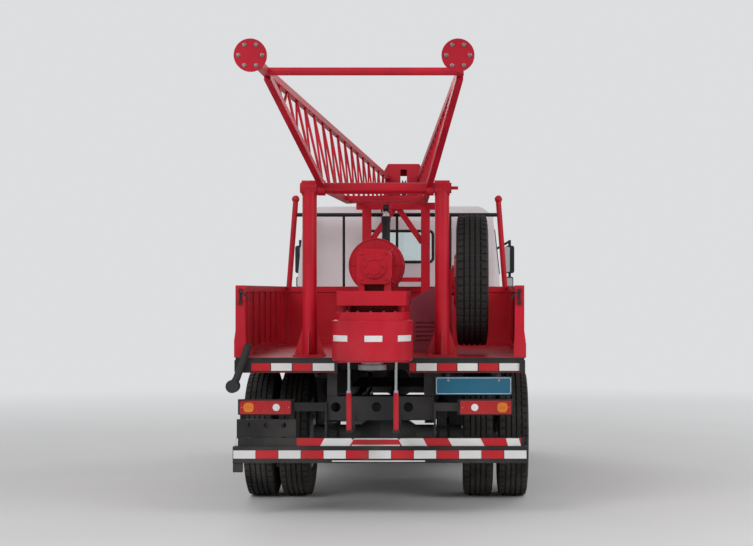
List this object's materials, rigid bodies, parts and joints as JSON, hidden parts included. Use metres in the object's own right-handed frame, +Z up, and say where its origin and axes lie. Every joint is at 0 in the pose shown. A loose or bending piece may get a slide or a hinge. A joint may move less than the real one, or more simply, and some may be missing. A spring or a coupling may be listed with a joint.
{
  "type": "truck-mounted drilling rig",
  "caption": "Forward-control truck with a drop-side bed, a rotary drill head behind the bed and a lattice mast that lies over the cab and tips up about a gantry.",
  "frame": {"origin": "on the ground below the middle of the bounding box, on the truck's centre line", "axes": "+Z up, +Y forward, +X to the right when looking forward"},
  "size_m": [2.22, 8.11, 3.051],
  "materials": {
    "red_paint": "gloss, dusty",
    "red_mast": "gloss",
    "black_frame": "satin",
    "white_cab": "gloss",
    "black_plastic": "matt",
    "tyre_rubber": "matt",
    "rim_paint": "satin",
    "cast_grey": "rough",
    "chrome_rod": "polished",
    "steel": "brushed",
    "window_glass": "clear",
    "lamp_red": "gloss",
    "lamp_clear": "gloss",
    "plate_blue": "satin",
    "seat_cloth": "woven"
  },
  "bodies": {
    "truck": {"chassis_frame": "black_frame", "driveline": "cast_grey", "rear_axle": "cast_grey", "front_axle": "cast_grey", "leaf_springs": "black_frame", "fuel_tank": "black_frame", "battery_box": "black_frame", "bed_floor": "red_paint", "headboard": "red_paint", "cab_back": "white_cab", "cab_roof": "white_cab", "cab_front": "white_cab", "cab_sides": "white_cab", "cab_glass": "window_glass", "cab_floor": "black_frame", "seats": "seat_cloth", "dashboard": "black_plastic", "front_bumper": "white_cab", "mirrors": "black_plastic", "guards": "black_plastic", "underrun_bar": "black_frame", "tail_lamps": "lamp_red", "rear_plate": "plate_blue", "marker_lamp": "black_plastic", "spare_tyre": "tyre_rubber", "spare_rim": "rim_paint", "gantry_posts": "red_paint", "pivot_tube": "red_paint", "mast_rest": "red_paint", "winch_table": "red_paint", "feed_barrels": "red_paint", "power_pack": "red_paint"},
    "mast": {"mast_truss_left": "red_mast", "mast_truss_right": "red_mast", "mast_cross": "red_mast"},
    "sheave": {"crown_sheave": "cast_grey"},
    "winch": {"winch_drum": "red_paint"},
    "head": {"rotary_head": "red_paint", "feed_rods": "chrome_rod"},
    "drill_spindle": {"spindle": "steel"},
    "mast_barrel": {"cylinder_barrel": "black_frame"},
    "mast_stage_1": {"cylinder_stage_1": "steel"},
    "mast_stage_2": {"cylinder_stage_2": "steel"},
    "mast_stage_3": {"cylinder_stage_3": "chrome_rod"},
    "door_body_left": {"door_left": "white_cab", "door_glass_left": "window_glass"},
    "board_left": {"side_board_left": "red_paint"},
    "steer_left": {"knuckle_left": "cast_grey"},
    "front_wheel_left": {"front_tyre_left": "tyre_rubber", "front_rim_left": "rim_paint"},
    "rear_wheel_left": {"rear_tyres_left": "tyre_rubber", "rear_rims_left": "rim_paint"},
    "door_body_right": {"door_right": "white_cab", "door_glass_right": "window_glass"},
    "board_right": {"side_board_right": "red_paint"},
    "steer_right": {"knuckle_right": "cast_grey"},
    "front_wheel_right": {"front_tyre_right": "tyre_rubber", "front_rim_right": "rim_paint"},
    "rear_wheel_right": {"rear_tyres_right": "tyre_rubber", "rear_rims_right": "rim_paint"}
  },
  "joints": [
    {"name": "mast_tilt", "type": "hinge", "parent": "truck", "child": "mast", "pos_m": [-0.04, -1.725, 2.342], "axis": [1, 0, 0], "range_deg": [0, 90]},
    {"name": "sheave_turn", "type": "hinge", "parent": "mast", "child": "sheave", "pos_m": [-0.04, 3.885, 2.65569], "axis": [1, 0, 0], "continuous": true},
    {"name": "winch_turn", "type": "hinge", "parent": "truck", "child": "winch", "pos_m": [-0.04, -1.56, 1.784], "axis": [0, 1, 0], "continuous": true},
    {"name": "head_feed", "type": "slide", "parent": "truck", "child": "head", "axis": [0, 0, 1], "range_m": [-0.16, 0]},
    {"name": "spindle_turn", "type": "hinge", "parent": "head", "child": "drill_spindle", "pos_m": [-0.04, -2.165, 1.3], "axis": [0, 0, 1], "continuous": true},
    {"name": "cylinder_swing", "type": "hinge", "parent": "truck", "child": "mast_barrel", "pos_m": [-0.04, -0.185, 1.192], "axis": [1, 0, 0], "range_deg": [0, 29]},
    {"name": "stage_slide_1", "type": "slide", "parent": "mast_barrel", "child": "mast_stage_1", "axis": [0, 0, 1], "range_m": [0, 0.66]},
    {"name": "stage_slide_2", "type": "slide", "parent": "mast_stage_1", "child": "mast_stage_2", "axis": [0, 0, 1], "range_m": [0, 0.66]},
    {"name": "stage_slide_3", "type": "slide", "parent": "mast_stage_2", "child": "mast_stage_3", "axis": [0, 0, 1], "range_m": [0, 0.66]},
    {"name": "door_swing_left", "type": "hinge", "parent": "truck", "child": "door_body_left", "pos_m": [-0.938, 2.898, 1.4], "axis": [0, 0, -1], "range_deg": [0, 70]},
    {"name": "board_drop_left", "type": "hinge", "parent": "truck", "child": "board_left", "pos_m": [-1.036, -0.445, 1.122], "axis": [0, -1, 0], "range_deg": [0, 150]},
    {"name": "steer_left", "type": "hinge", "parent": "truck", "child": "steer_left", "pos_m": [-0.69, 2.255, 0.487], "axis": [0, 0, 1], "range_deg": [-35, 35]},
    {"name": "front_roll_left", "type": "hinge", "parent": "steer_left", "child": "front_wheel_left", "pos_m": [-0.87, 2.255, 0.487], "axis": [1, 0, 0], "continuous": true},
    {"name": "rear_roll_left", "type": "hinge", "parent": "truck", "child": "rear_wheel_left", "pos_m": [-0.837, -0.645, 0.487], "axis": [1, 0, 0], "continuous": true},
    {"name": "door_swing_right", "type": "hinge", "parent": "truck", "child": "door_body_right", "pos_m": [0.938, 2.898, 1.4], "axis": [0, 0, 1], "range_deg": [0, 70]},
    {"name": "board_drop_right", "type": "hinge", "parent": "truck", "child": "board_right", "pos_m": [1.036, -0.445, 1.122], "axis": [0, 1, 0], "range_deg": [0, 150]},
    {"name": "steer_right", "type": "hinge", "parent": "truck", "child": "steer_right", "pos_m": [0.69, 2.255, 0.487], "axis": [0, 0, 1], "range_deg": [-35, 35]},
    {"name": "front_roll_right", "type": "hinge", "parent": "steer_right", "child": "front_wheel_right", "pos_m": [0.87, 2.255, 0.487], "axis": [1, 0, 0], "continuous": true},
    {"name": "rear_roll_right", "type": "hinge", "parent": "truck", "child": "rear_wheel_right", "pos_m": [0.837, -0.645, 0.487], "axis": [1, 0, 0], "continuous": true}
  ],
  "couplings": [
    {"joint": "steer_right", "follows": "steer_left", "ratio": 1},
    {"joint": "cylinder_swing", "follows": "mast_tilt", "ratio": 0.3222},
    {"joint": "stage_slide_1", "follows": "mast_tilt", "m_per_rad": 0.42017},
    {"joint": "stage_slide_2", "follows": "mast_tilt", "m_per_rad": 0.42017},
    {"joint": "stage_slide_3", "follows": "mast_tilt", "m_per_rad": 0.42017}
  ]
}
